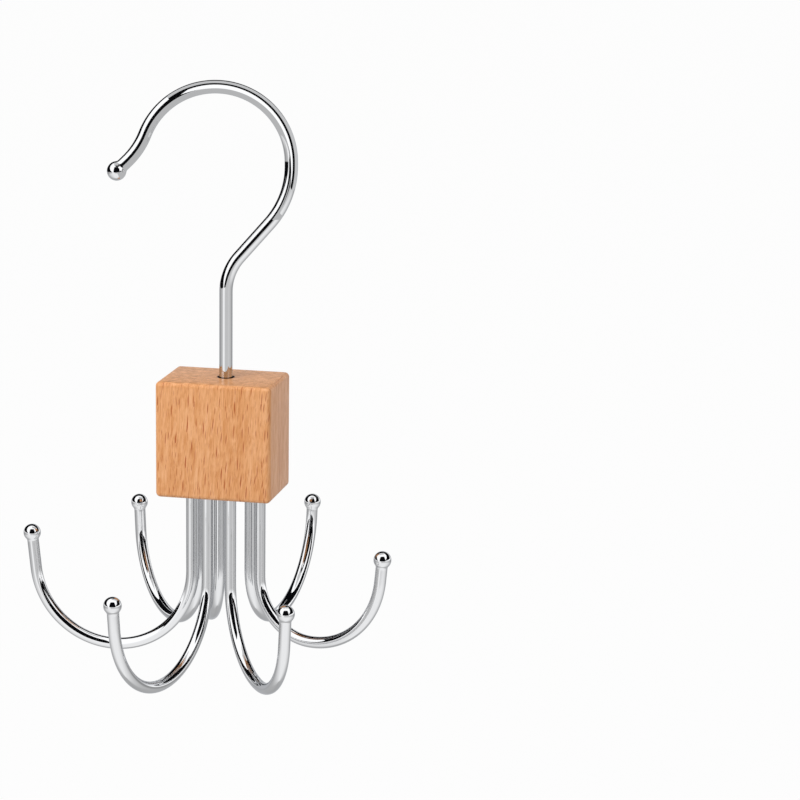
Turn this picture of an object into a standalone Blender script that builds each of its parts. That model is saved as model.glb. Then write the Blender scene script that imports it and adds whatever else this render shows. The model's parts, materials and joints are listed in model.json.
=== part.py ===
"""Belt hanger: a ball-ended swivel hook, a wooden block, and seven upturned wire arms below it.

Metres, +Z up. The origin is the top of the hook's inside, where the rail carries the hanger.
The hook side stands still on the rail; the block and its arms turn about the upright stem.
"""
import math

import bmesh
import bpy

# Gaps between pieces
SEAT_GAP = 0.0003
ROUND_FIT = 0.00015
GLUE_GAP = 0.0003

# Wooden block
BLOCK_WIDTH = 0.040
BLOCK_DEPTH = 0.028
BLOCK_HEIGHT = 0.040
BLOCK_EDGE_RADIUS = 0.0016
# The bore stands a little to the right of the block's middle.
BORE_OFFSET = 0.001
STEM_CLEARANCE = 0.0006

# Swivel hook, bent from one wire in one upright plane
HOOK_WIRE = 0.0045
HOOK_TURN = math.radians(15)
STEM_RISE = 0.0294
NECK_LEAN = math.radians(41.3)
NECK_LOWER_RADIUS = 0.0178
NECK_SLANT = 0.0152
NECK_UPPER_RADIUS = 0.0292
CROWN_RISE = 0.0014
CROWN_RADIUS = 0.0252
CROWN_SWEEP = math.radians(158.5)
LIP_RADIUS = 0.0259
LIP_SWEEP = math.radians(24.6)
LIP_RUN = 0.0008
HOOK_BALL = 0.0065

# Swivel seat inside the block, from its shoulder down
SEAT_DEPTH = 0.013
SEAT_RADIUS = 0.0055
THRUST_WASHER_HEIGHT = 0.0012
STEEL_WASHER_HEIGHT = 0.0010
STEEL_WASHER_RADIUS = 0.0045
THREAD_DIAMETER = 0.0040
SHOULDER_CHAMFER = 0.0002
NUT_ACROSS_FLATS = 0.0070
NUT_HEIGHT = 0.0032
NUT_COLLAR_RADIUS = 0.0031
NUT_COLLAR_HEIGHT = 0.0014
THREAD_STICKOUT = 0.0015

# Arms: each goes up into a blind hole, and below the block turns out and up again
ARM_WIRE = 0.0040
ARM_BALL = 0.0060
ARM_DROP = 0.029
ARM_UPTURN = math.radians(84)
ARM_SOCKET_DEPTH = 0.015
FRONT_ROW = -0.009
MIDDLE_ROW = 0.0
BACK_ROW = 0.0085

# The arms are bent and turned by hand, so each has its own sizes: sideways place of its leg
# from the stem, row, compass direction in degrees from +X, radius of the bend out, radius of
# the bend up, and the straight run before its ball.
ARMS = {
    "arm_left": (-0.0120, MIDDLE_ROW, 179, 0.0284, 0.0283, 0.0088),
    "arm_front_left": (-0.0040, FRONT_ROW, 254.5, 0.0292, 0.0300, 0.0047),
    "arm_front_right": (0.0040, FRONT_ROW, 305, 0.0287, 0.0225, 0.0078),
    "arm_right": (0.0120, MIDDLE_ROW, 340, 0.0201, 0.0288, 0.0040),
    "arm_back_right": (0.0065, BACK_ROW, 80.5, 0.0229, 0.0321, 0.0008),
    "arm_back": (-0.0045, BACK_ROW, 115, 0.0235, 0.0280, 0.0042),
    "arm_back_left": (-0.0115, BACK_ROW, 129.5, 0.0250, 0.0276, 0.0062),
}

# Ball ends
NECK_FILLET = 0.0015
NECK_COLLAR = 0.0006

# Fineness of the round surfaces
BEND_STEP = math.radians(7.5)
WIRE_RINGS = 6
TURNED_STEPS = 32
BALL_STEPS = 20
BALL_ARC_STEPS = 9

CHROME = (0.78, 0.79, 0.81, 1.0)
BEECH = (0.76, 0.42, 0.19, 1.0)
STEEL = (0.56, 0.57, 0.58, 1.0)
NYLON = (0.85, 0.84, 0.80, 1.0)


class WirePath:
    """Centre line of a bent wire in an upright plane: u outwards, z up, heading up from +u."""

    def __init__(self, u, z, heading):
        self.u = u
        self.z = z
        self.heading = heading
        self.points = [(u, z)]

    def run(self, length):
        self.u += length * math.cos(self.heading)
        self.z += length * math.sin(self.heading)
        self.points.append((self.u, self.z))

    def bend(self, radius, angle):
        """Turns left for a positive angle and right for a negative one."""
        side = math.copysign(radius, angle)
        centre_u = self.u - side * math.sin(self.heading)
        centre_z = self.z + side * math.cos(self.heading)
        steps = max(2, math.ceil(abs(angle) / BEND_STEP))
        for step in range(1, steps + 1):
            heading = self.heading + angle * step / steps
            self.points.append((centre_u + side * math.sin(heading),
                                centre_z - side * math.cos(heading)))
        self.u, self.z = self.points[-1]
        self.heading += angle


def clear_scene():
    for thing in list(bpy.data.objects):
        bpy.data.objects.remove(thing, do_unlink=True)


def finish_object(thing, parent, colour=None, roughness=0.3, metallic=0.0):
    """Links the object, hangs it on its parent and gives it its own material."""
    bpy.context.scene.collection.objects.link(thing)
    thing.parent = parent
    if colour is not None:
        material = bpy.data.materials.new(thing.name + "_finish")
        material.use_nodes = True
        shader = material.node_tree.nodes["Principled BSDF"]
        shader.inputs["Base Color"].default_value = colour
        shader.inputs["Roughness"].default_value = roughness
        shader.inputs["Metallic"].default_value = metallic
        material.diffuse_color = colour
        thing.data.materials.append(material)
    return thing


def empty(name, location, turn=0.0):
    thing = bpy.data.objects.new(name, None)
    thing.location = location
    thing.rotation_euler = (0.0, 0.0, turn)
    bpy.context.scene.collection.objects.link(thing)
    return thing


def shade_round(mesh, edge_angle=math.radians(40)):
    mesh.shade_smooth()
    mesh.set_sharp_from_angle(angle=edge_angle)


def wire(name, points, diameter, scales=None):
    """A round wire along points in the object's XZ plane, with flat ends."""
    curve = bpy.data.curves.new(name, "CURVE")
    curve.dimensions = "3D"
    curve.bevel_depth = diameter / 2
    curve.bevel_resolution = WIRE_RINGS
    curve.use_fill_caps = True
    spline = curve.splines.new("POLY")
    spline.points.add(len(points) - 1)
    for index, (u, z) in enumerate(points):
        spline.points[index].co = (u, 0.0, z, 1.0)
        if scales is not None:
            spline.points[index].radius = scales[index]
    return bpy.data.objects.new(name, curve)


def turned(name, profile, steps):
    """Spins a profile of (radius, height) points about Z, from the axis back to the axis."""
    form = bmesh.new()
    verts = [form.verts.new((radius, 0.0, height)) for radius, height in profile]
    edges = [form.edges.new(pair) for pair in zip(verts, verts[1:])]
    bmesh.ops.spin(form, geom=verts + edges, axis=(0, 0, 1), cent=(0, 0, 0),
                   angle=math.tau, steps=steps, use_merge=True)
    bmesh.ops.remove_doubles(form, verts=form.verts, dist=1e-6)
    bmesh.ops.recalc_face_normals(form, faces=form.faces)
    mesh = bpy.data.meshes.new(name)
    form.to_mesh(mesh)
    form.free()
    shade_round(mesh)
    return bpy.data.objects.new(name, mesh)


def cylinder(name, radius, bottom, top, steps, centre=(0.0, 0.0), spin=0.0):
    """An upright cylinder, or a prism when it has few steps."""
    form = bmesh.new()
    bmesh.ops.create_cone(form, cap_ends=True, segments=steps, radius1=radius, radius2=radius,
                          depth=top - bottom)
    mesh = bpy.data.meshes.new(name)
    form.to_mesh(mesh)
    form.free()
    thing = bpy.data.objects.new(name, mesh)
    thing.location = (centre[0], centre[1], (top + bottom) / 2)
    thing.rotation_euler = (0.0, 0.0, spin)
    return thing


def combine(target, tool, operation):
    """Cuts the tool from the target, or joins it to the target, and hides the tool."""
    tool.hide_render = True
    tool.display_type = "WIRE"
    modifier = target.modifiers.new(tool.name, "BOOLEAN")
    modifier.operation = operation
    modifier.object = tool
    modifier.solver = "EXACT"


def ball_profile(ball, wire_diameter):
    """A ball on a short neck, from the neck's flat end up to the pole, and the ball's height."""
    radius = ball / 2
    neck = wire_diameter / 2
    rise = math.sqrt((radius + NECK_FILLET) ** 2 - (neck + NECK_FILLET) ** 2)
    centre = NECK_COLLAR + rise
    lean = math.atan2(rise, neck + NECK_FILLET)
    profile = [(0.0, 0.0), (neck, 0.0), (neck, NECK_COLLAR)]
    for step in (1, 2, 3):
        angle = lean * step / 3
        profile.append((neck + NECK_FILLET * (1 - math.cos(angle)),
                        NECK_COLLAR + NECK_FILLET * math.sin(angle)))
    for step in range(1, BALL_ARC_STEPS + 1):
        angle = -lean + (math.pi / 2 + lean) * step / BALL_ARC_STEPS
        profile.append((radius * math.cos(angle), centre + radius * math.sin(angle)))
    profile[-1] = (0.0, centre + radius)
    return profile


def ball_tip(name, path, ball, wire_diameter, place, turn, parent):
    """Seats a ball on the end of a wire, in line with the wire's last run."""
    tip = turned(name, ball_profile(ball, wire_diameter), BALL_STEPS)
    out = path.u + SEAT_GAP * math.cos(path.heading)
    tip.location = (place[0] + out * math.cos(turn), place[1] + out * math.sin(turn),
                    path.z + SEAT_GAP * math.sin(path.heading))
    tip.rotation_euler = (0.0, math.pi / 2 - path.heading, turn)
    return finish_object(tip, parent, CHROME, 0.06, 1.0)


def ring(name, inner, outer, bottom, top, parent, colour, roughness, metallic):
    """A flat washer with a round hole."""
    washer = cylinder(name, outer, bottom, top, TURNED_STEPS)
    finish_object(washer, parent, colour, roughness, metallic)
    hole = cylinder(name + "_hole_cutter", inner, bottom - SEAT_GAP, top + SEAT_GAP, TURNED_STEPS)
    combine(washer, finish_object(hole, parent), "DIFFERENCE")
    shade_round(washer.data)


# Heights from the block's top face, where both frames of the swivel stand.
underside = -BLOCK_HEIGHT
seat_shoulder = underside + SEAT_DEPTH
thrust_top = seat_shoulder - SEAT_GAP
thrust_bottom = thrust_top - THRUST_WASHER_HEIGHT
steel_top = thrust_bottom - SEAT_GAP
steel_bottom = steel_top - STEEL_WASHER_HEIGHT
nut_top = steel_bottom - SEAT_GAP
nut_bottom = nut_top - NUT_HEIGHT
collar_bottom = nut_bottom - NUT_COLLAR_HEIGHT
stem_end = collar_bottom - THREAD_STICKOUT
thread_top = steel_top + SEAT_GAP

stem_radius = HOOK_WIRE / 2
thread_scale = THREAD_DIAMETER / HOOK_WIRE
thread_fit = THREAD_DIAMETER / 2 + ROUND_FIT
bore_radius = stem_radius + STEM_CLEARANCE
socket_radius = ARM_WIRE / 2 + GLUE_GAP
socket_top = underside + ARM_SOCKET_DEPTH

hook_path = WirePath(0.0, stem_end, math.pi / 2)
hook_path.run(thread_top - stem_end)
hook_path.run(SHOULDER_CHAMFER)
hook_scales = [thread_scale, thread_scale, 1.0]
hook_path.run(STEM_RISE - thread_top - SHOULDER_CHAMFER)
hook_path.bend(NECK_LOWER_RADIUS, -NECK_LEAN)
hook_path.run(NECK_SLANT)
hook_path.bend(NECK_UPPER_RADIUS, NECK_LEAN)
hook_path.run(CROWN_RISE)
crown_u = hook_path.u - CROWN_RADIUS
crown_z = hook_path.z
hook_path.bend(CROWN_RADIUS, CROWN_SWEEP)
hook_path.bend(LIP_RADIUS, -LIP_SWEEP)
hook_path.run(LIP_RUN)
hook_scales += [1.0] * (len(hook_path.points) - len(hook_scales))

# The rail carries the hook at the top of its inside, which is the origin.
rail_seat = crown_z + CROWN_RADIUS - stem_radius
swivel_place = (-crown_u * math.cos(HOOK_TURN), -crown_u * math.sin(HOOK_TURN), -rail_seat)

clear_scene()
hook_side = empty("hook_side", swivel_place, HOOK_TURN)
block_side = empty("block_side", swivel_place)

# Hook side: the bent wire, its ball, and the washer and nut on its threaded end
hook = wire("hook_wire", hook_path.points, HOOK_WIRE, hook_scales)
finish_object(hook, hook_side, CHROME, 0.06, 1.0)
ball_tip("hook_ball", hook_path, HOOK_BALL, HOOK_WIRE, (0.0, 0.0), 0.0, hook_side)
ring("steel_washer", thread_fit, STEEL_WASHER_RADIUS, steel_bottom, steel_top, hook_side,
     STEEL, 0.35, 1.0)

nut = cylinder("lock_nut", NUT_ACROSS_FLATS / math.sqrt(3), nut_bottom, nut_top, 6)
finish_object(nut, hook_side, STEEL, 0.3, 1.0)
collar = cylinder("nut_collar_form", NUT_COLLAR_RADIUS, collar_bottom, nut_bottom + SEAT_GAP,
                  TURNED_STEPS)
combine(nut, finish_object(collar, hook_side), "UNION")
nut_hole = cylinder("nut_hole_cutter", thread_fit, collar_bottom - SEAT_GAP, nut_top + SEAT_GAP,
                    TURNED_STEPS)
combine(nut, finish_object(nut_hole, hook_side), "DIFFERENCE")
shade_round(nut.data)

# Block side: the wooden block with its bore, swivel seat and blind holes
form = bmesh.new()
bmesh.ops.create_cube(form, size=1.0)
bmesh.ops.scale(form, vec=(BLOCK_WIDTH, BLOCK_DEPTH, BLOCK_HEIGHT), verts=form.verts)
mesh = bpy.data.meshes.new("wood_block")
form.to_mesh(mesh)
form.free()
block = bpy.data.objects.new("wood_block", mesh)
block.location = (-BORE_OFFSET, 0.0, underside + BLOCK_HEIGHT / 2)
finish_object(block, block_side, BEECH, 0.55, 0.0)
rounding = block.modifiers.new("rounded_edges", "BEVEL")
rounding.width = BLOCK_EDGE_RADIUS
rounding.segments = 4
rounding.limit_method = "ANGLE"
shade_round(mesh)

cutters = [
    cylinder("bore_cutter", bore_radius, seat_shoulder - SEAT_GAP, SEAT_GAP, TURNED_STEPS),
    cylinder("seat_cutter", SEAT_RADIUS, underside - SEAT_GAP, seat_shoulder, TURNED_STEPS),
]
for name, (leg_u, row, *_) in ARMS.items():
    cutters.append(cylinder(name + "_socket_cutter", socket_radius, underside - SEAT_GAP,
                            socket_top, BALL_STEPS, centre=(leg_u, row)))
for cutter in cutters:
    combine(block, finish_object(cutter, block_side), "DIFFERENCE")

ring("thrust_washer", stem_radius + SEAT_GAP, SEAT_RADIUS - SEAT_GAP, thrust_bottom, thrust_top,
     block_side, NYLON, 0.5, 0.0)

# Block side: the arms, glued in the blind holes, and their balls
for name, (leg_u, row, direction, out_radius, up_radius, tip_run) in ARMS.items():
    turn = math.radians(direction)
    path = WirePath(0.0, socket_top - SEAT_GAP, -math.pi / 2)
    path.run(socket_top - SEAT_GAP - underside + ARM_DROP)
    path.bend(out_radius, math.pi / 2)
    path.bend(up_radius, ARM_UPTURN)
    path.run(tip_run)
    arm = wire(name, path.points, ARM_WIRE)
    arm.location = (leg_u, row, 0.0)
    arm.rotation_euler = (0.0, 0.0, turn)
    finish_object(arm, block_side, CHROME, 0.06, 1.0)
    ball_tip(name + "_ball", path, ARM_BALL, ARM_WIRE, (leg_u, row), turn, block_side)
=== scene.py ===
"""Belt hanger: chromed wires and balls over a lacquered beech block, in a pale studio."""
import json
import math

import bpy
from mathutils import Matrix, Vector


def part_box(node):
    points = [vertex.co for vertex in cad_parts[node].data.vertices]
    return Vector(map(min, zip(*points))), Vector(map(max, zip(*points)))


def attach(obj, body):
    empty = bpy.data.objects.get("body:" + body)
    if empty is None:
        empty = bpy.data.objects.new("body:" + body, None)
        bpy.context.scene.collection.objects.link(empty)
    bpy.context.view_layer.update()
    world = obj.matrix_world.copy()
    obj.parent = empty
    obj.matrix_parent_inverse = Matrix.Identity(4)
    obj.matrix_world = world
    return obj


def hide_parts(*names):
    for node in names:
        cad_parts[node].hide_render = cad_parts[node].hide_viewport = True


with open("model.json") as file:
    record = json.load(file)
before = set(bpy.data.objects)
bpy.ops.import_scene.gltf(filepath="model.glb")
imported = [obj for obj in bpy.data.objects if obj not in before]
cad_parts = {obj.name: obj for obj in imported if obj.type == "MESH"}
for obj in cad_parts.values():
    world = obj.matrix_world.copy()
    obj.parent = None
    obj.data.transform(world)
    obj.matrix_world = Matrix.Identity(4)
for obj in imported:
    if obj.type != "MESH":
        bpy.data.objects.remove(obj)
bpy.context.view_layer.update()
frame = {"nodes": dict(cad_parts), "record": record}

record = frame["record"]

# Places read from the frame, in metres
SWIVEL = Vector(record["behaviour"]["joints"][0]["pos_m"])
BLOCK_LOW, BLOCK_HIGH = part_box("wood_block")
STEM_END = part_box("hook_wire")[0].z
WASHER_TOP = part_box("steel_washer")[1].z

# Block
BLOCK_EDGE_RADIUS = 0.0016
BLOCK_EDGE_STEPS = 8
BORE_RADIUS = 0.00285
SEAT_DEPTH = 0.013
SEAT_RADIUS = 0.0055
SOCKET_RADIUS = 0.0023
SOCKET_DEPTH = 0.015
GAP = 0.0003

# Swivel hook, from the threaded end up
HOOK_WIRE = 0.0045
HOOK_TURN = math.radians(15)
HOOK_BALL = 0.0065
THREAD_DIAMETER = 0.0040
SHOULDER_CHAMFER = 0.0002
STEM_RISE = 0.0294
NECK_LEAN = math.radians(41.3)
NECK_LOWER_RADIUS = 0.0178
NECK_SLANT = 0.0152
NECK_UPPER_RADIUS = 0.0292
CROWN_RISE = 0.0014
CROWN_RADIUS = 0.0252
CROWN_SWEEP = math.radians(158.5)
LIP_RADIUS = 0.0259
LIP_SWEEP = math.radians(24.6)
LIP_RUN = 0.0008

# Arms: leg's sideways place from the stem, row, compass direction in degrees, radius of the
# bend out, radius of the bend up, straight run before the ball
ARM_WIRE = 0.0040
ARM_BALL = 0.0060
ARM_DROP = 0.029
ARM_UPTURN = math.radians(84)
FRONT_ROW = -0.009
MIDDLE_ROW = 0.0
BACK_ROW = 0.0085
ARMS = {
    "arm_left": (-0.0120, MIDDLE_ROW, 179, 0.0284, 0.0283, 0.0088),
    "arm_front_left": (-0.0040, FRONT_ROW, 254.5, 0.0292, 0.0300, 0.0047),
    "arm_front_right": (0.0040, FRONT_ROW, 305, 0.0287, 0.0225, 0.0078),
    "arm_right": (0.0120, MIDDLE_ROW, 340, 0.0201, 0.0288, 0.0040),
    "arm_back_right": (0.0065, BACK_ROW, 80.5, 0.0229, 0.0321, 0.0008),
    "arm_back": (-0.0045, BACK_ROW, 115, 0.0235, 0.0280, 0.0042),
    "arm_back_left": (-0.0115, BACK_ROW, 129.5, 0.0250, 0.0276, 0.0062),
}

# Ball ends
NECK_FILLET = 0.0015
NECK_COLLAR = 0.0006

# Fineness of the round surfaces
WIRE_SIDES = 48
BEND_STEP = math.radians(2.5)
BALL_ARC_STEPS = 24
FILLET_STEPS = 6
HOLE_SIDES = 64
ONE_POINT = 1e-7
WIRE_SMOOTH_UNDER = math.radians(40)
BLOCK_SMOOTH_UNDER = math.radians(30)


def leave_nothing_selected():
    bpy.ops.object.select_all(action="DESELECT")


def start_editing():
    bpy.ops.object.mode_set(mode="EDIT")
    bpy.ops.mesh.select_mode(type="EDGE")
    bpy.ops.mesh.select_all(action="SELECT")


def close_and_smooth(piece):
    """Fills the open ends, turns the faces outwards and shades the round sides smooth."""
    bpy.ops.mesh.select_all(action="SELECT")
    bpy.ops.mesh.remove_doubles(threshold=ONE_POINT)
    bpy.ops.mesh.fill_holes(sides=0)
    bpy.ops.mesh.select_all(action="SELECT")
    bpy.ops.mesh.normals_make_consistent(inside=False)
    bpy.ops.object.mode_set(mode="OBJECT")
    bpy.ops.object.shade_smooth_by_angle(angle=WIRE_SMOOTH_UNDER)
    piece.select_set(False)


class BentWire:
    """A round wire in one upright plane: pushed out along its runs and spun round its bends."""

    def __init__(self, name, start, heading, turn, diameter):
        self.place = Vector(start)
        self.heading = heading
        self.out = Vector((math.cos(turn), math.sin(turn), 0.0))
        leave_nothing_selected()
        bpy.ops.mesh.primitive_circle_add(vertices=WIRE_SIDES, radius=diameter / 2, location=start,
                                          rotation=(0.0, math.pi / 2 - heading, turn))
        self.piece = bpy.context.object
        self.piece.name = name
        bpy.ops.object.transform_apply()
        start_editing()

    def direction(self):
        return self.out * math.cos(self.heading) + Vector((0.0, 0.0, math.sin(self.heading)))

    def run(self, length, widening=1.0):
        step = self.direction() * length
        self.place += step
        bpy.ops.mesh.extrude_edges_move(TRANSFORM_OT_translate={"value": step})
        if widening != 1.0:
            bpy.ops.transform.resize(value=(widening,) * 3, center_override=self.place)

    def bend(self, radius, angle):
        """Turns from outwards to upwards for a positive angle, and back for a negative one."""
        side = math.copysign(1.0, angle)
        across = Vector((-self.out.y, self.out.x, 0.0)) * side
        centre = self.place + across.cross(self.direction()) * -radius
        steps = max(2, math.ceil(abs(angle) / BEND_STEP))
        bpy.ops.mesh.spin(steps=steps, angle=abs(angle), center=centre, axis=across)
        self.place = centre + Matrix.Rotation(-abs(angle), 3, across) @ (self.place - centre)
        self.heading += angle

    def finish(self):
        close_and_smooth(self.piece)
        return self.piece


def ball_profile(ball, wire_diameter):
    """Radius and height of each ring, from the neck's flat end to the ball's far side."""
    radius = ball / 2
    neck = wire_diameter / 2
    rise = math.sqrt((radius + NECK_FILLET) ** 2 - (neck + NECK_FILLET) ** 2)
    centre = NECK_COLLAR + rise
    lean = math.atan2(rise, neck + NECK_FILLET)
    rings = [(neck, 0.0), (neck, NECK_COLLAR)]
    for step in range(1, FILLET_STEPS + 1):
        angle = lean * step / FILLET_STEPS
        rings.append((neck + NECK_FILLET * (1 - math.cos(angle)),
                      NECK_COLLAR + NECK_FILLET * math.sin(angle)))
    for step in range(1, BALL_ARC_STEPS):
        angle = -lean + (math.pi / 2 + lean) * step / BALL_ARC_STEPS
        rings.append((radius * math.cos(angle), centre + radius * math.sin(angle)))
    return rings, centre + radius


def ball_form(name, ball, wire_diameter):
    """A ball on a short neck, standing on the origin and modelled ring by ring."""
    rings, height = ball_profile(ball, wire_diameter)
    leave_nothing_selected()
    bpy.ops.mesh.primitive_circle_add(vertices=WIRE_SIDES, radius=rings[0][0], location=(0, 0, 0))
    piece = bpy.context.object
    piece.name = name
    start_editing()
    for (radius, level), (next_radius, next_level) in zip(rings, rings[1:]):
        bpy.ops.mesh.extrude_edges_move(
            TRANSFORM_OT_translate={"value": (0.0, 0.0, next_level - level)})
        scale = next_radius / radius
        bpy.ops.transform.resize(value=(scale, scale, 1.0), center_override=(0.0, 0.0, 0.0))
    bpy.ops.mesh.extrude_edges_move(
        TRANSFORM_OT_translate={"value": (0.0, 0.0, height - rings[-1][1])})
    bpy.ops.mesh.merge(type="CENTER")
    close_and_smooth(piece)
    return piece


def seat_ball(form, name, wire):
    """A copy of the ball's form, set in line with the wire's end."""
    leave_nothing_selected()
    form.select_set(True)
    bpy.context.view_layer.objects.active = form
    bpy.ops.object.duplicate()
    ball = bpy.context.object
    ball.name = name
    ball.location = wire.place
    turn = math.atan2(wire.out.y, wire.out.x)
    ball.rotation_euler = (0.0, math.pi / 2 - wire.heading, turn)
    bpy.ops.object.transform_apply()
    ball.select_set(False)
    return ball


def remove(piece):
    bpy.data.objects.remove(piece, do_unlink=True)


def make_hook():
    hook = BentWire("hook_wire_bent", (SWIVEL.x, SWIVEL.y, STEM_END), math.pi / 2, HOOK_TURN,
                    THREAD_DIAMETER)
    hook.run(WASHER_TOP + GAP - STEM_END)
    hook.run(SHOULDER_CHAMFER, HOOK_WIRE / THREAD_DIAMETER)
    hook.run(BLOCK_HIGH.z + STEM_RISE - hook.place.z)
    hook.bend(NECK_LOWER_RADIUS, -NECK_LEAN)
    hook.run(NECK_SLANT)
    hook.bend(NECK_UPPER_RADIUS, NECK_LEAN)
    hook.run(CROWN_RISE)
    hook.bend(CROWN_RADIUS, CROWN_SWEEP)
    hook.bend(LIP_RADIUS, -LIP_SWEEP)
    hook.run(LIP_RUN + GAP)
    hook.finish()
    form = ball_form("hook_ball_form", HOOK_BALL, HOOK_WIRE)
    ball = seat_ball(form, "hook_ball_turned", hook)
    remove(form)
    return hook.piece, ball


def block_hole(block, radius, bottom, top, place):
    """Cuts one upright round hole."""
    leave_nothing_selected()
    bpy.ops.mesh.primitive_cylinder_add(
        vertices=HOLE_SIDES, radius=radius, depth=top - bottom,
        location=(place[0], place[1], (top + bottom) / 2))
    drill = bpy.context.object
    cut = block.modifiers.new("hole", "BOOLEAN")
    cut.operation = "DIFFERENCE"
    cut.object = drill
    cut.solver = "EXACT"
    bpy.context.view_layer.objects.active = block
    bpy.ops.object.modifier_apply(modifier=cut.name)
    remove(drill)


def make_block():
    leave_nothing_selected()
    bpy.ops.mesh.primitive_cube_add(size=1.0, location=(BLOCK_LOW + BLOCK_HIGH) / 2,
                                    scale=BLOCK_HIGH - BLOCK_LOW)
    block = bpy.context.object
    block.name = "wood_block_lacquered"
    bpy.ops.object.transform_apply()
    start_editing()
    bpy.ops.mesh.bevel(offset=BLOCK_EDGE_RADIUS, segments=BLOCK_EDGE_STEPS, affect="EDGES")
    bpy.ops.object.mode_set(mode="OBJECT")
    underside = BLOCK_LOW.z
    block_hole(block, BORE_RADIUS, underside, BLOCK_HIGH.z + GAP, SWIVEL)
    block_hole(block, SEAT_RADIUS, underside - GAP, underside + SEAT_DEPTH, SWIVEL)
    for leg, row, *_ in ARMS.values():
        block_hole(block, SOCKET_RADIUS, underside - GAP, underside + SOCKET_DEPTH,
                   (SWIVEL.x + leg, SWIVEL.y + row))
    block.select_set(True)
    bpy.ops.object.shade_smooth_by_angle(angle=BLOCK_SMOOTH_UNDER)
    block.select_set(False)
    return block


def make_arms():
    """Each arm's wire and ball, by the name of its CAD node."""
    form = ball_form("arm_ball_form", ARM_BALL, ARM_WIRE)
    made = {}
    leg_top = BLOCK_LOW.z + SOCKET_DEPTH - GAP
    for name, (leg, row, direction, out_radius, up_radius, tip_run) in ARMS.items():
        start = (SWIVEL.x + leg, SWIVEL.y + row, leg_top)
        arm = BentWire(name + "_bent", start, -math.pi / 2, math.radians(direction), ARM_WIRE)
        arm.run(SOCKET_DEPTH - GAP + ARM_DROP)
        arm.bend(out_radius, math.pi / 2)
        arm.bend(up_radius, ARM_UPTURN)
        arm.run(tip_run + GAP)
        arm.finish()
        made[name] = arm.piece
        made[name + "_ball"] = seat_ball(form, name + "_ball_turned", arm)
    remove(form)
    return made


# Chrome: its colour, and its tint where it is seen at a flat angle
CHROME_DARK = (0.645, 0.65, 0.66, 1.0)
CHROME_LIGHT = (0.675, 0.68, 0.69, 1.0)
CHROME_EDGE_TINT = (0.86, 0.875, 0.89, 1.0)
CHROME_HAZE = (0.02, 0.05)
CHROME_WAVE_DEPTH = 0.00002

# Beech: colours of the wide faces by tone, of the rays and of the end grain; painted shade in the
# bore, and the millimetres outside it over which that shade fades out
BEECH_TONES = [(0.40, (0.69, 0.280, 0.085, 1.0)), (0.50, (0.80, 0.370, 0.143, 1.0)),
               (0.60, (0.89, 0.455, 0.212, 1.0))]
RAY_BROWN = (0.43, 0.080, 0.001, 1.0)
END_GRAIN_DARK = (0.49, 0.20, 0.066, 1.0)
END_GRAIN_LIGHT = (0.97, 0.50, 0.232, 1.0)
BORE_PAINTED_SHADE = (0.05, 0.022, 0.010, 1.0)
BORE_SHADE_FADE = (0.35, 0.1)
GRAIN_LEAN = math.radians(-3)
GRAIN_DRIFT = (0.7, 2.2)
# How often each pattern repeats in a millimetre: sideways, front to back and up the grain
FIBRE = (2.2, 2.2, 0.16)
STREAK = (0.45, 0.45, 0.03)
LAYER = (0.10, 0.75, 0.02)
VEIN = (0.05, 1.5, 0.03)
END_RING = (0.35, 2.4, 0.05)
# Rays in millimetres, in the same order: room for each, half its size, and the faintest one's share
BOLD_RAYS = ((1.8, 12.0, 5.8), (0.20, 9.5, 2.4), 0.7)
FINE_RAYS = ((0.9, 7.0, 3.2), (0.13, 5.0, 1.3), 0.1)
FINE_RAY_OFFSET = (31.0, 17.0, 5.0)
FINE_RAY_SHARE = 0.42
RAY_SIZES = (0.6, 1.3)
LACQUER = 0.22
LACQUER_ROUGHNESS = 0.10
WOOD_RELIEF = 0.00003

ZINC_DARK = (0.50, 0.51, 0.53, 1.0)
ZINC_LIGHT = (0.63, 0.64, 0.65, 1.0)
NYLON_DARK = (0.80, 0.79, 0.74, 1.0)
NYLON_LIGHT = (0.88, 0.87, 0.83, 1.0)
NYLON_DEPTH = (0.001, 0.0009, 0.0008)
FINE_RELIEF = 0.00001


class Nodes:
    """Short calls for the nodes of one material or of the world."""

    def __init__(self, tree):
        self.tree = tree

    def add(self, kind, inputs=None, **settings):
        node = self.tree.nodes.new(kind)
        for name, value in settings.items():
            setattr(node, name, value)
        for socket, value in (inputs or {}).items():
            self.feed(node.inputs[socket], value)
        return node

    def feed(self, socket, value):
        if isinstance(value, bpy.types.NodeSocket):
            self.tree.links.new(value, socket)
        else:
            socket.default_value = value

    def math(self, operation, first, second=0.0):
        return self.add("ShaderNodeMath", {0: first, 1: second}, operation=operation).outputs[0]

    def vector(self, operation, first, second=(0.0, 0.0, 0.0)):
        node = self.add("ShaderNodeVectorMath", {0: first, 1: second}, operation=operation)
        return node.outputs["Value" if operation in ("DOT_PRODUCT", "LENGTH") else "Vector"]

    def ease(self, value, start, end, low=0.0, high=1.0):
        """Goes smoothly from low to high while the value goes from start to end."""
        node = self.add("ShaderNodeMapRange",
                        {"Value": value, "From Min": start, "From Max": end,
                         "To Min": low, "To Max": high}, interpolation_type="SMOOTHSTEP")
        return node.outputs[0]

    def mix(self, share, first, second):
        node = self.add("ShaderNodeMix", data_type="RGBA")
        self.feed(node.inputs[0], share)
        self.feed(node.inputs[6], first)
        self.feed(node.inputs[7], second)
        return node.outputs[2]

    def noise(self, place, scale, detail=2.0, roughness=0.5):
        node = self.add("ShaderNodeTexNoise", {"Vector": place, "Scale": scale, "Detail": detail,
                                               "Roughness": roughness})
        return node.outputs["Fac"]

    def ramp(self, value, stops):
        node = self.add("ShaderNodeValToRGB", {"Fac": value})
        elements = node.color_ramp.elements
        while len(elements) < len(stops):
            elements.new(0.5)
        for element, (position, colour) in zip(elements, stops):
            element.position = position
            element.color = colour
        return node.outputs["Color"]


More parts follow.
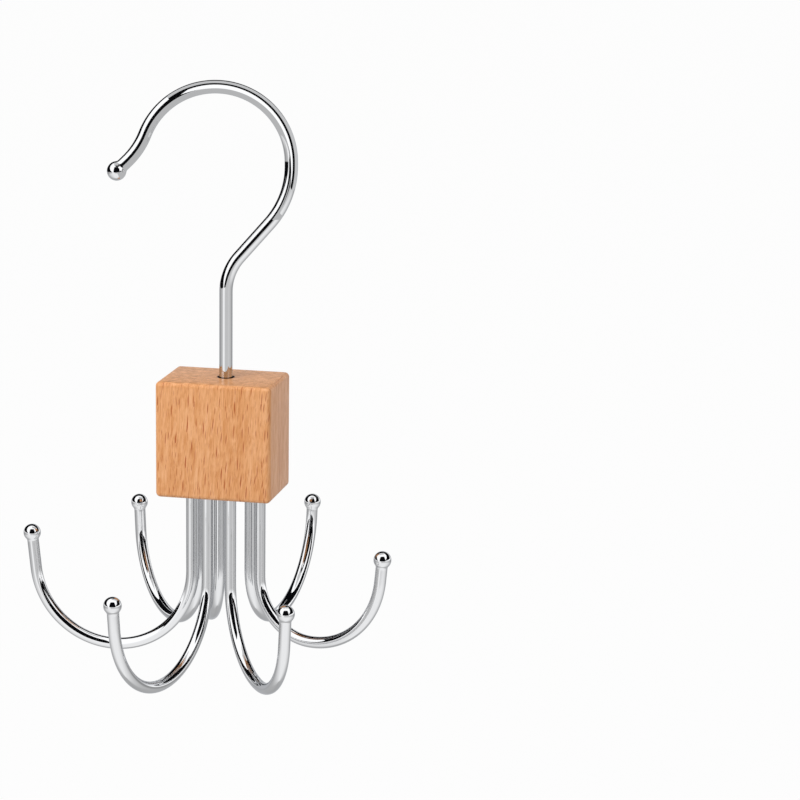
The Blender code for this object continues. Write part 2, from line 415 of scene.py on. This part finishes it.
def new_finish(name):
    """A material with its nodes, its shader and the place on the object in millimetres."""
    material = bpy.data.materials.new(name)
    material.use_nodes = True
    nodes = Nodes(material.node_tree)
    shader = material.node_tree.nodes["Principled BSDF"]
    place = nodes.add("ShaderNodeTexCoord").outputs["Object"]
    millimetres = nodes.add("ShaderNodeMapping", {"Vector": place, "Scale": (1000.0,) * 3})
    return material, nodes, shader, millimetres.outputs[0]


def bump(nodes, shader, height, depth, strength=1.0):
    node = nodes.add("ShaderNodeBump", {"Height": height, "Distance": depth, "Strength": strength})
    nodes.feed(shader.inputs["Normal"], node.outputs[0])


def chrome_finish(name):
    """Bright plating: a hair of waviness from the bent wire, and faint haze."""
    material, nodes, shader, place = new_finish(name)
    cloud = nodes.noise(place, 0.2, 3.0)
    nodes.feed(shader.inputs["Base Color"], nodes.mix(cloud, CHROME_DARK, CHROME_LIGHT))
    shader.inputs["Metallic"].default_value = 1.0
    shader.inputs["Specular Tint"].default_value = CHROME_EDGE_TINT
    haze = nodes.noise(place, 0.6, 3.0)
    nodes.feed(shader.inputs["Roughness"], nodes.ease(haze, 0.3, 0.75, *CHROME_HAZE))
    wave = nodes.noise(place, 0.09, 1.0)
    bump(nodes, shader, wave, CHROME_WAVE_DEPTH)
    return material


def flecks(nodes, place, spacing, half, least):
    """Spindle-shaped rays, one in each cell: long up the grain, thin across it."""
    cells = nodes.vector("DIVIDE", place, spacing)
    cell = nodes.add("ShaderNodeTexVoronoi", {"Vector": cells, "Scale": 1.0})
    away = nodes.vector("SUBTRACT", cells, cell.outputs["Position"])
    stretch = tuple(step / size for step, size in zip(spacing, half))
    reach = nodes.vector("LENGTH", nodes.vector("MULTIPLY", away, stretch))
    chance = nodes.add("ShaderNodeSeparateXYZ", {0: cell.outputs["Color"]}).outputs
    size = nodes.ease(chance["X"], 0.0, 1.0, *RAY_SIZES)
    spindle = nodes.ease(nodes.math("DIVIDE", reach, size), 1.0, 0.45)
    return nodes.math("MULTIPLY", spindle, nodes.ease(chance["Y"], 0.0, 1.0, least, 1.0))


def beech_finish(name):
    """Straight-grained beech: layers stacked front to back, rays as short dark flecks."""
    material, nodes, shader, place = new_finish(name)
    lean = nodes.add("ShaderNodeMapping", {"Vector": place, "Rotation": (0.0, GRAIN_LEAN, 0.0)})
    drift = nodes.noise(place, 0.12, 2.0)
    sideways_drift, depth_drift = (nodes.math("MULTIPLY", drift, reach) for reach in GRAIN_DRIFT)
    wander = nodes.add("ShaderNodeCombineXYZ", {"X": sideways_drift, "Y": depth_drift})
    grain = nodes.vector("ADD", lean.outputs[0], wander.outputs[0])

    fibre = nodes.noise(nodes.vector("MULTIPLY", grain, FIBRE), 1.0, 3.0, 0.6)
    streak = nodes.noise(nodes.vector("MULTIPLY", grain, STREAK), 1.0, 2.0)
    layer = nodes.noise(nodes.vector("MULTIPLY", grain, LAYER), 1.0, 2.0)
    tone = nodes.math("ADD", nodes.math("MULTIPLY", fibre, 0.55),
                      nodes.math("ADD", nodes.math("MULTIPLY", streak, 0.25),
                                 nodes.math("MULTIPLY", layer, 0.2)))
    normal = nodes.add("ShaderNodeTexCoord").outputs["Normal"]
    facing = nodes.add("ShaderNodeSeparateXYZ", {0: normal})
    sideways = nodes.math("ABSOLUTE", facing.outputs["X"])
    upright = nodes.math("ABSOLUTE", facing.outputs["Z"])
    veins = nodes.noise(nodes.vector("MULTIPLY", grain, VEIN), 1.0, 3.0, 0.6)
    tone = nodes.math("ADD", tone, nodes.math("MULTIPLY", nodes.math("SUBTRACT", veins, 0.5),
                                              nodes.ease(sideways, 0.6, 0.95, 0.0, 0.5)))
    wood = nodes.ramp(tone, BEECH_TONES)
    bold = flecks(nodes, grain, *BOLD_RAYS)
    fine = flecks(nodes, nodes.vector("ADD", grain, FINE_RAY_OFFSET), *FINE_RAYS)
    either = nodes.math("MAXIMUM", bold, nodes.math("MULTIPLY", fine, FINE_RAY_SHARE))
    ray = nodes.math("MULTIPLY", either, nodes.ease(sideways, 0.6, 0.95, 1.0, 0.12))
    wood = nodes.mix(ray, wood, RAY_BROWN)

    ring = nodes.noise(nodes.vector("MULTIPLY", grain, END_RING), 1.0, 4.0, 0.75)
    end = nodes.mix(nodes.ease(ring, 0.41, 0.59), END_GRAIN_DARK, END_GRAIN_LIGHT)
    wood = nodes.mix(nodes.ease(upright, 0.75, 0.97, 0.0, 0.8), wood, end)

    # Painted shade: inside the bore and for a few tenths of a millimetre round it the wood goes
    # near-black, standing in for the shade in the gap round the stem
    beside = nodes.vector("MULTIPLY", nodes.vector("SUBTRACT", place, tuple(SWIVEL * 1000)),
                          (1.0, 1.0, 0.0))
    rim = nodes.ease(nodes.vector("LENGTH", beside),
                     *(BORE_RADIUS * 1000 + reach for reach in BORE_SHADE_FADE))
    wood = nodes.mix(rim, wood, BORE_PAINTED_SHADE)
    nodes.feed(shader.inputs["Base Color"], wood)
    nodes.feed(shader.inputs["Roughness"], nodes.ease(fibre, 0.3, 0.7, 0.48, 0.36))
    shader.inputs["Coat Weight"].default_value = LACQUER
    shader.inputs["Coat Roughness"].default_value = LACQUER_ROUGHNESS
    relief = nodes.math("SUBTRACT", nodes.math("MULTIPLY", fibre, 0.4), ray)
    bump(nodes, shader, relief, WOOD_RELIEF)
    return material


def steel_finish(name):
    material, nodes, shader, place = new_finish(name)
    brushed = nodes.noise(nodes.vector("MULTIPLY", place, (1.0, 1.0, 12.0)), 1.5, 4.0)
    nodes.feed(shader.inputs["Base Color"], nodes.mix(brushed, ZINC_DARK, ZINC_LIGHT))
    shader.inputs["Metallic"].default_value = 1.0
    nodes.feed(shader.inputs["Roughness"], nodes.ease(brushed, 0.3, 0.7, 0.26, 0.42))
    bump(nodes, shader, brushed, FINE_RELIEF)
    return material


def nylon_finish(name):
    material, nodes, shader, place = new_finish(name)
    cloud = nodes.noise(place, 0.9, 3.0)
    nodes.feed(shader.inputs["Base Color"], nodes.mix(cloud, NYLON_DARK, NYLON_LIGHT))
    nodes.feed(shader.inputs["Roughness"], nodes.ease(cloud, 0.3, 0.7, 0.45, 0.6))
    shader.inputs["Subsurface Weight"].default_value = 0.15
    shader.inputs["Subsurface Radius"].default_value = NYLON_DEPTH
    bump(nodes, shader, cloud, FINE_RELIEF)
    return material


def dress(piece, material, slot, body, *replaced):
    piece.data.materials.clear()
    piece.data.materials.append(material)
    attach(piece, body)
    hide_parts(*replaced)


# Studio: the camera looks at the hanger from its right front and a little above.
CAMERA_PLACE = SWIVEL + Vector((0.25648, -0.96106, 0.21653))
CAMERA_YAW = math.radians(11.537)
CAMERA_TILT = math.radians(77.303)
CAMERA_ROLL = math.radians(0.815)
CAMERA_LENS = 135.0
CAMERA_SENSOR = 36.0
CAMERA_NEAR = 0.01
CAMERA_FAR = 50.0
FLOOR_HEIGHT = -0.30
FLOOR_SIZE = 12.0
FLOOR_GREY = 0.5
FLOOR_SHOWN_WHITE = 0.965
KEY_LAMP_PLACE = (-0.9, -1.4, 1.1)
KEY_LAMP_SIZE = 1.2
KEY_LAMP_POWER = 20.0
# The hook's own front, right and up
FRONT = Vector((math.sin(HOOK_TURN), -math.cos(HOOK_TURN), 0.0))
RIGHT = Vector((math.cos(HOOK_TURN), math.sin(HOOK_TURN), 0.0))
UP = Vector((0.0, 0.0, 1.0))

# Black screens that only polished metal sees: a panel in front, and a band that rises on the
# left, passes overhead and comes down on the right
PANEL_DISTANCE = 0.8
PANEL_LOW = -0.195
PANEL_HIGH = 1.2
PANEL_HALF_WIDTH = 0.60
# Two arched cards close before the hook's crown, a white one with a black one round it: sideways
# and upward reach, the part of a turn they fill, anticlockwise from the right, and the slant of
# their ends, in degrees
CARD_DISTANCE = 0.030
ARCH_SIDES = 96
CARD_HOLE = 0.015
WHITE_ARCH = (0.037, 0.051, -14, 125, 25)
BLACK_ARCH = (0.080, 0.115, -22, 130, 0)
# The black arch's outer edge goes on backwards as a grey hoop
HOOP_DEPTH = 0.090
HOOP_GREY = 0.80
# A grey card that the hook sees below it and that nothing sees from below
SHELF_HEIGHT = -0.042
SHELF_FRONT = 0.110
SHELF_BACK = -0.040
SHELF_LEFT = -0.026
SHELF_RIGHT = 0.024
SHELF_GREY = 0.68
# The dome that the band and the side screens are cut from
DOME_CENTRE = Vector((0.0, 0.0, -0.145))
DOME_RADIUS = 0.74
DOME_SIDES = 96
DOME_RINGS = 48
BAND_RISE = math.radians(15)
# Two black screens at the sides, in degrees: from and to, counted from the front to the right,
# and from and to above the horizon
SIDE_SCREENS = {"right_screen": (72, 130, 16, 42), "left_screen": (-148, -97, 9, 31)}
SCREEN_BLACK = (0.004, 0.004, 0.005, 1.0)
METAL_WHITE = 1.52
# The room round polished metal: between which heights, as sines, the white becomes the far ground
# and that the near ground, and where the grey back begins and ends
HORIZON_FADE = (0.0, -0.14)
GROUND_FADE = (-0.28, -0.48)
BACK_FADE = (-0.55, -0.8)
BACK_TOP_FADE = (0.42, 0.30)
BACK_GREY = (0.42, 0.42, 0.43, 1.0)
# The room's light on everything else, from below to above
ROOM_FADE = (-0.5, 0.8)
ROOM_LOW = (0.51, 0.51, 0.51, 1.0)
ROOM_HIGH = (0.80, 0.79, 0.78, 1.0)
# Greys of the ground that polished metal sees, by degrees from the front to the right
FAR_GROUND_GREYS = [
    (-180, 0.22), (-120, 0.26), (-95, 0.38), (-62, 0.48), (-50, 0.82), (-28, 0.84), (-15, 0.51),
    (25, 0.51), (45, 0.56), (62, 0.54), (75, 0.48), (100, 0.42), (122, 0.25), (180, 0.22),
]
NEAR_GROUND_GREYS = [
    (-180, 0.36), (-120, 0.40), (-80, 0.66), (-40, 0.80), (40, 0.80), (80, 0.68), (120, 0.40),
    (180, 0.36),
]


def grey(level):
    return (level, level, level, 1.0)


def set_camera():
    camera = bpy.data.objects.new("camera", bpy.data.cameras.new("camera"))
    camera.data.lens = CAMERA_LENS
    camera.data.sensor_width = CAMERA_SENSOR
    camera.data.clip_start = CAMERA_NEAR
    camera.data.clip_end = CAMERA_FAR
    camera.matrix_world = (Matrix.Translation(CAMERA_PLACE) @ Matrix.Rotation(CAMERA_YAW, 4, "Z")
                           @ Matrix.Rotation(CAMERA_TILT, 4, "X")
                           @ Matrix.Rotation(CAMERA_ROLL, 4, "Z"))
    bpy.context.scene.collection.objects.link(camera)
    bpy.context.scene.camera = camera


def set_floor():
    """A pale floor: white to the camera, shaded where the hanger keeps the light off."""
    leave_nothing_selected()
    bpy.ops.mesh.primitive_plane_add(size=FLOOR_SIZE, location=(0.0, 0.0, FLOOR_HEIGHT))
    floor = bpy.context.object
    floor.name = "floor"
    floor.select_set(False)
    floor.visible_glossy = False
    material = bpy.data.materials.new("floor_paint")
    material.use_nodes = True
    tree = material.node_tree
    tree.nodes.clear()
    nodes = Nodes(tree)
    seen = nodes.add("ShaderNodeLightPath").outputs["Is Camera Ray"]
    paint = nodes.add("ShaderNodeBsdfDiffuse", {"Color": grey(FLOOR_GREY)}).outputs[0]
    glow = nodes.add("ShaderNodeEmission", {"Color": grey(1.0)}).outputs[0]
    shown = nodes.math("MULTIPLY", seen, FLOOR_SHOWN_WHITE)
    pale = nodes.add("ShaderNodeMixShader", {0: shown, 1: paint, 2: glow}).outputs[0]
    below = nodes.add("ShaderNodeNewGeometry").outputs["Backfacing"]
    clear = nodes.add("ShaderNodeBsdfTransparent").outputs[0]
    whole = nodes.add("ShaderNodeMixShader", {0: below, 1: pale, 2: clear}).outputs[0]
    nodes.add("ShaderNodeOutputMaterial", {"Surface": whole})
    floor.data.materials.append(material)


def add_lamp(name, place, size, power):
    lamp = bpy.data.objects.new(name, bpy.data.lights.new(name, "AREA"))
    lamp.data.shape = "SQUARE"
    lamp.data.size = size
    lamp.data.energy = power
    lamp.location = place
    aim = (BLOCK_LOW + BLOCK_HIGH) / 2 - Vector(place)
    lamp.rotation_euler = aim.to_track_quat("-Z", "Y").to_euler()
    lamp.visible_glossy = False
    bpy.context.scene.collection.objects.link(lamp)


def finish_screen(screen, glow, from_below=True):
    """A flat glowing colour, seen by polished metal alone: it shows only as a painted reflection in
    the chrome.
    """
    paint = bpy.data.materials.new(screen.name + "_paint")
    paint.use_nodes = True
    paint.node_tree.nodes.clear()
    nodes = Nodes(paint.node_tree)
    light = nodes.add("ShaderNodeEmission", {"Color": glow}).outputs[0]
    if not from_below:
        below = nodes.add("ShaderNodeNewGeometry").outputs["Backfacing"]
        clear = nodes.add("ShaderNodeBsdfTransparent").outputs[0]
        light = nodes.add("ShaderNodeMixShader", {0: below, 1: light, 2: clear}).outputs[0]
    nodes.add("ShaderNodeOutputMaterial", {"Surface": light})
    screen.data.materials.append(paint)
    for kind in ("visible_camera", "visible_diffuse", "visible_transmission", "visible_shadow",
                 "visible_volume_scatter"):
        setattr(screen, kind, False)
    screen.select_set(False)


def set_arch(name, inner, outer, start, end, slant, glow, depth=0.0):
    """A ring before the hook's crown, cut to the part between two directions."""
    leave_nothing_selected()
    centre = UP * (HOOK_WIRE / 2 - CROWN_RADIUS)
    middle = centre + FRONT * CARD_DISTANCE
    bpy.ops.mesh.primitive_circle_add(vertices=ARCH_SIDES, radius=1.0, location=middle,
                                      rotation=(math.pi / 2, 0.0, HOOK_TURN))
    arch = bpy.context.object
    arch.name = name
    start_editing()
    bpy.ops.transform.resize(value=(inner[0], inner[0], inner[1]), center_override=middle)
    bpy.ops.mesh.extrude_edges_move(TRANSFORM_OT_translate={"value": FRONT * -depth})
    across, upward = outer[0] / inner[0], outer[1] / inner[1]
    bpy.ops.transform.resize(value=(across, across, upward), center_override=middle)
    for degrees, quarter in ((start, 90), (end, -90)):
        angle = math.radians(degrees)
        place = centre + (RIGHT * math.cos(angle) + UP * math.sin(angle)) * CROWN_RADIUS
        angle += math.radians(quarter - slant)
        bpy.ops.mesh.select_all(action="SELECT")
        bpy.ops.mesh.bisect(plane_co=place, clear_inner=True,
                            plane_no=RIGHT * math.cos(angle) + UP * math.sin(angle))
    bpy.ops.object.mode_set(mode="OBJECT")
    finish_screen(arch, glow)


def set_shelf():
    """A level grey card inside and before the hook."""
    leave_nothing_selected()
    middle = FRONT * ((SHELF_FRONT + SHELF_BACK) / 2) + UP * SHELF_HEIGHT
    middle += RIGHT * ((SHELF_LEFT + SHELF_RIGHT) / 2)
    bpy.ops.mesh.primitive_plane_add(size=1.0, location=middle, rotation=(0.0, 0.0, HOOK_TURN))
    shelf = bpy.context.object
    shelf.name = "hook_shelf"
    shelf.scale = (SHELF_RIGHT - SHELF_LEFT, SHELF_FRONT - SHELF_BACK, 1.0)
    finish_screen(shelf, grey(SHELF_GREY), from_below=False)


def set_panel():
    leave_nothing_selected()
    height = (PANEL_LOW + PANEL_HIGH) / 2
    bpy.ops.mesh.primitive_plane_add(size=1.0, location=FRONT * PANEL_DISTANCE + UP * height,
                                     rotation=(math.pi / 2, 0.0, HOOK_TURN))
    panel = bpy.context.object
    panel.name = "front_screen"
    panel.scale = (2 * PANEL_HALF_WIDTH, PANEL_HIGH - PANEL_LOW, 1.0)
    finish_screen(panel, SCREEN_BLACK)


def set_dome_screen(name, cuts):
    """A piece of a dome, cut from a sphere by planes: each one's direction outwards and level."""
    leave_nothing_selected()
    bpy.ops.mesh.primitive_uv_sphere_add(segments=DOME_SIDES, ring_count=DOME_RINGS,
                                         radius=DOME_RADIUS, location=DOME_CENTRE)
    screen = bpy.context.object
    screen.name = name
    bpy.ops.object.mode_set(mode="EDIT")
    for outward, level in cuts:
        bpy.ops.mesh.select_all(action="SELECT")
        place = DOME_CENTRE + outward * (level * DOME_RADIUS / outward.length_squared)
        bpy.ops.mesh.bisect(plane_co=place, plane_no=outward, clear_outer=True)
    bpy.ops.object.mode_set(mode="OBJECT")
    finish_screen(screen, SCREEN_BLACK)


def set_band():
    toward = FRONT * math.cos(BAND_RISE) + UP * math.sin(BAND_RISE)
    upward = UP * math.cos(BAND_RISE) - FRONT * math.sin(BAND_RISE)
    front_edge = (toward - RIGHT * 0.194 + upward * 0.907, 0.669)
    back_edge = (RIGHT * 0.341 - upward * 0.359 - toward, 0.592)
    lower_end = (RIGHT * 0.0378 - UP, -0.026)
    set_dome_screen("band_screen", [front_edge, back_edge, lower_end])


def set_side_screens():
    for name, edges in SIDE_SCREENS.items():
        start, end, low, high = (math.radians(edge) for edge in edges)
        set_dome_screen(name, [
            (FRONT * math.sin(start) - RIGHT * math.cos(start), 0.0),
            (RIGHT * math.cos(end) - FRONT * math.sin(end), 0.0),
            (-UP, -math.sin(low)),
            (UP, math.sin(high)),
        ])


def set_world():
    """White all round; polished metal also sees the studio's grey ground and back."""
    world = bpy.data.worlds.new("studio")
    world.use_nodes = True
    tree = world.node_tree
    tree.nodes.clear()
    nodes = Nodes(tree)
    way = nodes.add("ShaderNodeTexCoord").outputs["Generated"]
    height = nodes.add("ShaderNodeSeparateXYZ", {0: way}).outputs["Z"]
    frontward = nodes.vector("DOT_PRODUCT", way, tuple(FRONT))
    rightward = nodes.vector("DOT_PRODUCT", way, tuple(RIGHT))

    around = nodes.math("ADD", nodes.math("DIVIDE", nodes.math("ARCTAN2", rightward, frontward),
                                          math.tau), 0.5)
    far_ground, near_ground = (
        nodes.ramp(around, [(degrees / 360 + 0.5, grey(level)) for degrees, level in greys])
        for greys in (FAR_GROUND_GREYS, NEAR_GROUND_GREYS))
    ground = nodes.mix(nodes.ease(height, *GROUND_FADE), far_ground, near_ground)
    seen = nodes.mix(nodes.ease(height, *HORIZON_FADE), grey(1.0), ground)
    behind = nodes.math("MULTIPLY", nodes.ease(frontward, *BACK_FADE),
                        nodes.ease(height, *BACK_TOP_FADE))
    seen = nodes.mix(behind, seen, BACK_GREY)
    bright = nodes.vector("MULTIPLY", seen, (METAL_WHITE,) * 3)

    path = nodes.add("ShaderNodeLightPath").outputs
    soft = nodes.mix(nodes.ease(height, *ROOM_FADE), ROOM_LOW, ROOM_HIGH)
    plain = nodes.mix(nodes.math("MAXIMUM", path["Is Camera Ray"], path["Is Transmission Ray"]),
                      soft, grey(1.0))
    shown = nodes.mix(path["Is Glossy Ray"], plain, bright)
    sky = nodes.add("ShaderNodeBackground", {"Color": shown, "Strength": 1.0}).outputs[0]
    nodes.add("ShaderNodeOutputWorld", {"Surface": sky})
    bpy.context.scene.world = world


hook_wire, hook_ball = make_hook()
arm_pieces = make_arms()
block = make_block()

hook_chrome = chrome_finish("hook_chrome")
arm_chrome = chrome_finish("arm_chrome")
dress(hook_wire, hook_chrome, "chrome_hook", "hook_side", "hook_wire")
dress(hook_ball, hook_chrome, "chrome_hook", "hook_side", "hook_ball")
dress(block, beech_finish("lacquered_beech"), "beech", "block_side", "wood_block")
for node, piece in arm_pieces.items():
    dress(piece, arm_chrome, "chrome_arms", "block_side", node)

zinc = steel_finish("zinc_plated_steel")
nylon = nylon_finish("natural_nylon")
for node, material in (("steel_washer", zinc), ("lock_nut", zinc), ("thrust_washer", nylon)):
    for material_slot in frame["nodes"][node].material_slots:
        material_slot.material = material

set_camera()
set_floor()
set_panel()
set_band()
set_side_screens()
# Cards that only the chrome sees: painted reflections, the white arch glowing brighter than white
# as a painted highlight on the hook's crown
set_arch("white_arch", (CARD_HOLE, CARD_HOLE), WHITE_ARCH[:2], *WHITE_ARCH[2:], grey(METAL_WHITE))
set_arch("black_arch", WHITE_ARCH[:2], BLACK_ARCH[:2], *BLACK_ARCH[2:], SCREEN_BLACK)
set_arch("grey_hoop", BLACK_ARCH[:2], BLACK_ARCH[:2], *BLACK_ARCH[2:], grey(HOOP_GREY),
         HOOP_DEPTH)
set_shelf()
set_world()
add_lamp("key_lamp", KEY_LAMP_PLACE, KEY_LAMP_SIZE, KEY_LAMP_POWER)
bpy.context.scene.view_settings.view_transform = "Standard"
